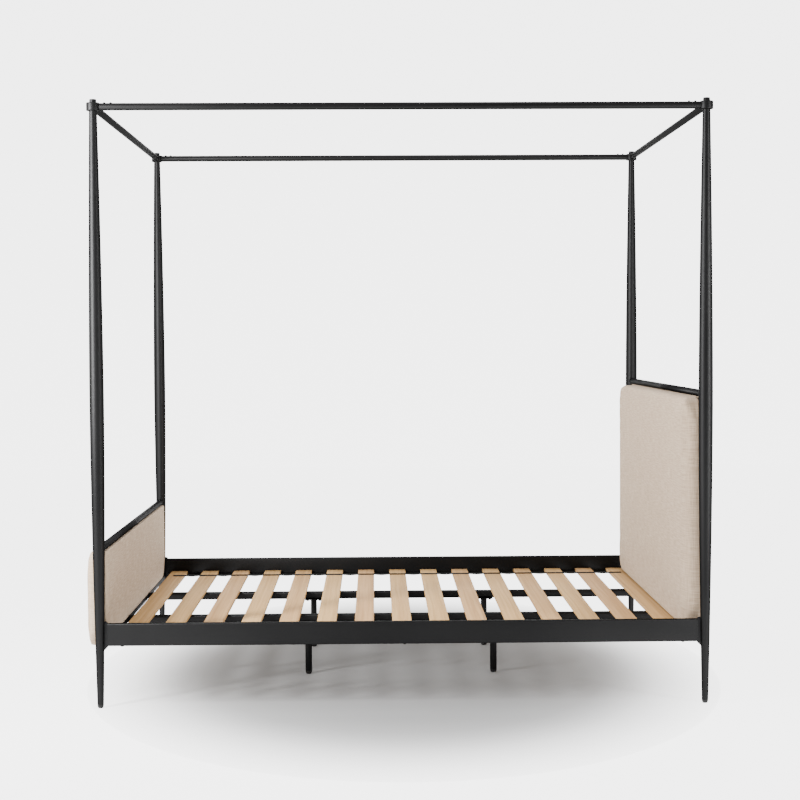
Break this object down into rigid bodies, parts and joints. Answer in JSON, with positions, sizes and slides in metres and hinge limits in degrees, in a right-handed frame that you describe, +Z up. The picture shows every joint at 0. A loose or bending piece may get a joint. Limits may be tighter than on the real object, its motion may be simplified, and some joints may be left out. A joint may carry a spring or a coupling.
{
  "type": "canopy bed",
  "caption": "Four poster bed with tapered round posts, a tube canopy, an upholstered headboard and footboard, and a slatted base on centre beams.",
  "frame": {"origin": "on the floor, under the middle of the bounding box", "axes": "+X from the footboard to the headboard, +Y across the bed, +Z up"},
  "size_m": [2.2011, 1.6498, 2.114],
  "materials": {
    "black_steel": "satin black powder coat",
    "screw_steel": "black oxide",
    "glide_plastic": "matt moulded",
    "leveller_plastic": "matt moulded",
    "slat_wood": "planed softwood, clear",
    "linen": "woven oatmeal linen"
  },
  "bodies": {
    "bed_frame": {"post_foot_near": "black_steel", "post_foot_far": "black_steel", "post_head_near": "black_steel", "post_head_far": "black_steel", "canopy_collar_foot_near": "black_steel", "canopy_collar_foot_far": "black_steel", "canopy_collar_head_near": "black_steel", "canopy_collar_head_far": "black_steel", "canopy_side_rail_near": "black_steel", "canopy_side_rail_far": "black_steel", "canopy_end_rail_foot": "black_steel", "canopy_end_rail_head": "black_steel", "headboard_rail": "black_steel", "footboard_rail": "black_steel", "side_rail_near": "black_steel", "side_rail_far": "black_steel", "end_rail_foot": "black_steel", "end_rail_head": "black_steel", "centre_beam_near": "black_steel", "centre_beam_far": "black_steel", "centre_leg_foot_near": "black_steel", "centre_leg_foot_far": "black_steel", "centre_leg_head_near": "black_steel", "centre_leg_head_far": "black_steel", "canopy_screw_foot_near_1": "screw_steel", "canopy_screw_foot_near_2": "screw_steel", "canopy_screw_foot_far_1": "screw_steel", "canopy_screw_foot_far_2": "screw_steel", "canopy_screw_head_near_1": "screw_steel", "canopy_screw_head_near_2": "screw_steel", "canopy_screw_head_far_1": "screw_steel", "canopy_screw_head_far_2": "screw_steel", "post_glide_foot_near": "glide_plastic", "post_glide_foot_far": "glide_plastic", "post_glide_head_near": "glide_plastic", "post_glide_head_far": "glide_plastic", "slat_01": "slat_wood", "slat_02": "slat_wood", "slat_03": "slat_wood", "slat_04": "slat_wood", "slat_05": "slat_wood", "slat_06": "slat_wood", "slat_07": "slat_wood", "slat_08": "slat_wood", "slat_09": "slat_wood", "slat_10": "slat_wood", "slat_11": "slat_wood", "slat_12": "slat_wood", "slat_13": "slat_wood", "slat_14": "slat_wood", "slat_15": "slat_wood", "headboard_panel": "linen", "headboard_cushion": "linen", "footboard_panel": "linen", "footboard_cushion": "linen"},
    "leveller_foot_near": {"leveller_foot_near": "leveller_plastic"},
    "leveller_foot_far": {"leveller_foot_far": "leveller_plastic"},
    "leveller_head_near": {"leveller_head_near": "leveller_plastic"},
    "leveller_head_far": {"leveller_head_far": "leveller_plastic"}
  },
  "joints": [
    {"name": "leveller_foot_near_height", "type": "slide", "parent": "bed_frame", "child": "leveller_foot_near", "axis": [0, 0, -1], "range_m": [0, 0.012]},
    {"name": "leveller_foot_far_height", "type": "slide", "parent": "bed_frame", "child": "leveller_foot_far", "axis": [0, 0, -1], "range_m": [0, 0.012]},
    {"name": "leveller_head_near_height", "type": "slide", "parent": "bed_frame", "child": "leveller_head_near", "axis": [0, 0, -1], "range_m": [0, 0.012]},
    {"name": "leveller_head_far_height", "type": "slide", "parent": "bed_frame", "child": "leveller_head_far", "axis": [0, 0, -1], "range_m": [0, 0.012]}
  ]
}
